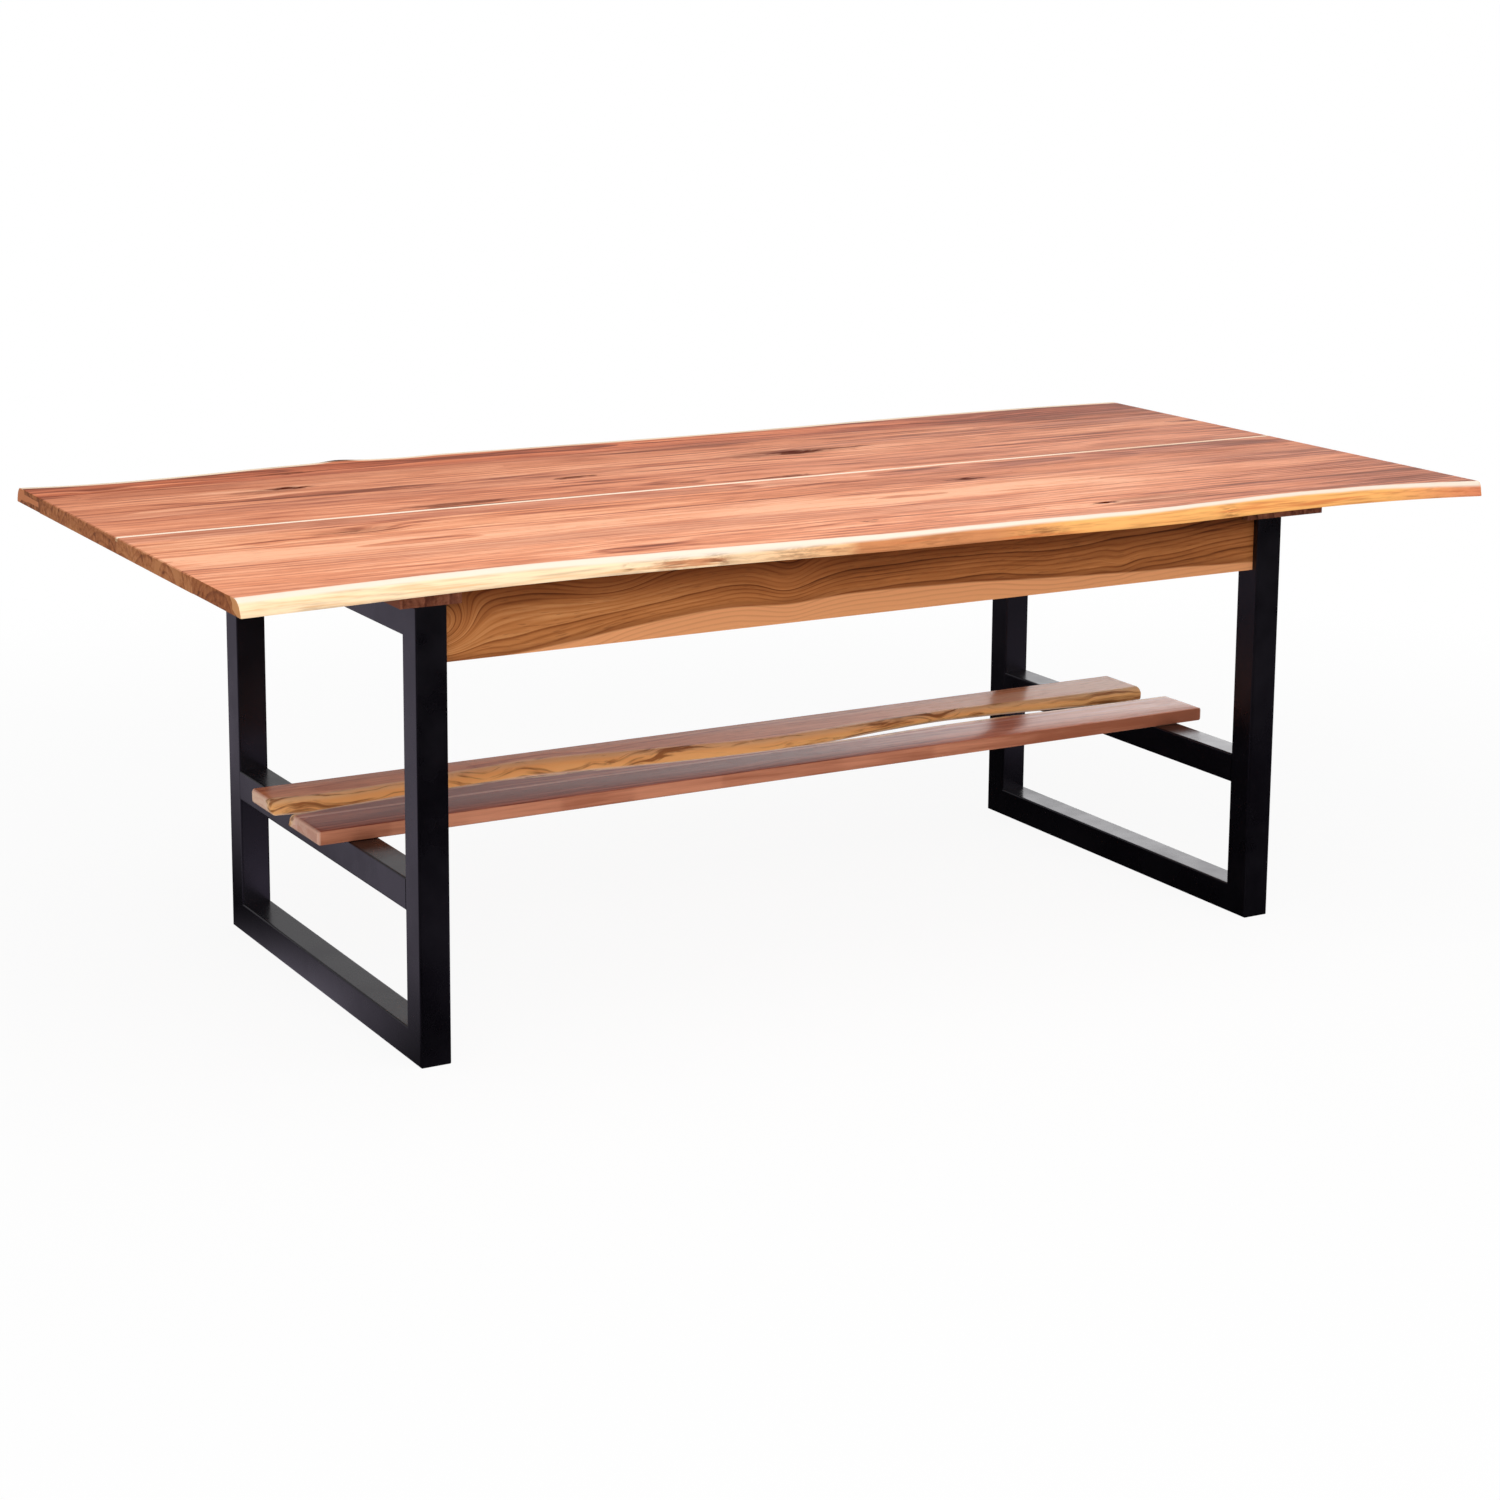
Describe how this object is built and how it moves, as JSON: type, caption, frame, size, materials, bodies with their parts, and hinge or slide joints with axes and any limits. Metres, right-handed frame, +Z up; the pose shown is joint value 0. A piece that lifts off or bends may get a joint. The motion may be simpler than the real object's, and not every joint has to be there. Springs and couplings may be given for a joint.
{
  "type": "live edge dining table",
  "caption": "Dining table with a walnut top of glued boards and natural long edges, on closed square-tube steel end frames joined by wooden aprons and a low split shelf.",
  "frame": {"origin": "on the floor under the middle of the top", "axes": "+X along the table towards the end with the wide cleat, +Y to the back, the side away from the viewer of the picture, +Z up"},
  "size_m": [2.212, 1.1, 0.762],
  "materials": {
    "back_edge_wood": "oiled, low sheen, figured grain, pale sapwood at the natural edge",
    "back_third_wood": "oiled, low sheen, figured grain",
    "back_second_wood": "oiled, low sheen, figured grain",
    "back_inner_wood": "oiled, low sheen, figured grain",
    "front_inner_wood": "oiled, low sheen, figured grain",
    "front_second_wood": "oiled, low sheen, figured grain",
    "front_third_wood": "oiled, low sheen, figured grain",
    "front_edge_wood": "oiled, low sheen, figured grain, pale sapwood at the natural edge",
    "inlay_wood": "pale, oiled, low sheen",
    "cleat_wood": "oiled, low sheen, figured grain",
    "apron_wood": "oiled, low sheen, figured grain, paler band along the bottom",
    "back_shelf_wood": "oiled, low sheen, figured grain, golden natural edge",
    "front_shelf_wood": "oiled, low sheen, figured grain, golden natural edge",
    "frame_black": "black, semi-gloss",
    "fastener_steel": "bright zinc",
    "bracket_steel": "bright zinc"
  },
  "bodies": {
    "root": {"back_edge_stave": "back_edge_wood", "back_third_stave": "back_third_wood", "back_second_stave": "back_second_wood", "back_inner_stave": "back_inner_wood", "front_inner_stave": "front_inner_wood", "front_second_stave": "front_second_wood", "front_third_stave": "front_third_wood", "front_edge_stave": "front_edge_wood", "centre_inlay": "inlay_wood", "left_cleat": "cleat_wood", "right_cleat": "cleat_wood", "front_apron": "apron_wood", "back_apron": "apron_wood", "back_shelf_board": "back_shelf_wood", "front_shelf_board": "front_shelf_wood", "cleat_screws": "fastener_steel", "frame_bolts": "fastener_steel", "shelf_screws": "fastener_steel", "bracket_screws": "fastener_steel", "apron_brackets": "bracket_steel", "left_front_upright": "frame_black", "left_back_upright": "frame_black", "left_bottom_rail": "frame_black", "left_top_rail": "frame_black", "left_mid_rail": "frame_black", "right_front_upright": "frame_black", "right_back_upright": "frame_black", "right_bottom_rail": "frame_black", "right_top_rail": "frame_black", "right_mid_rail": "frame_black"}
  },
  "joints": []
}
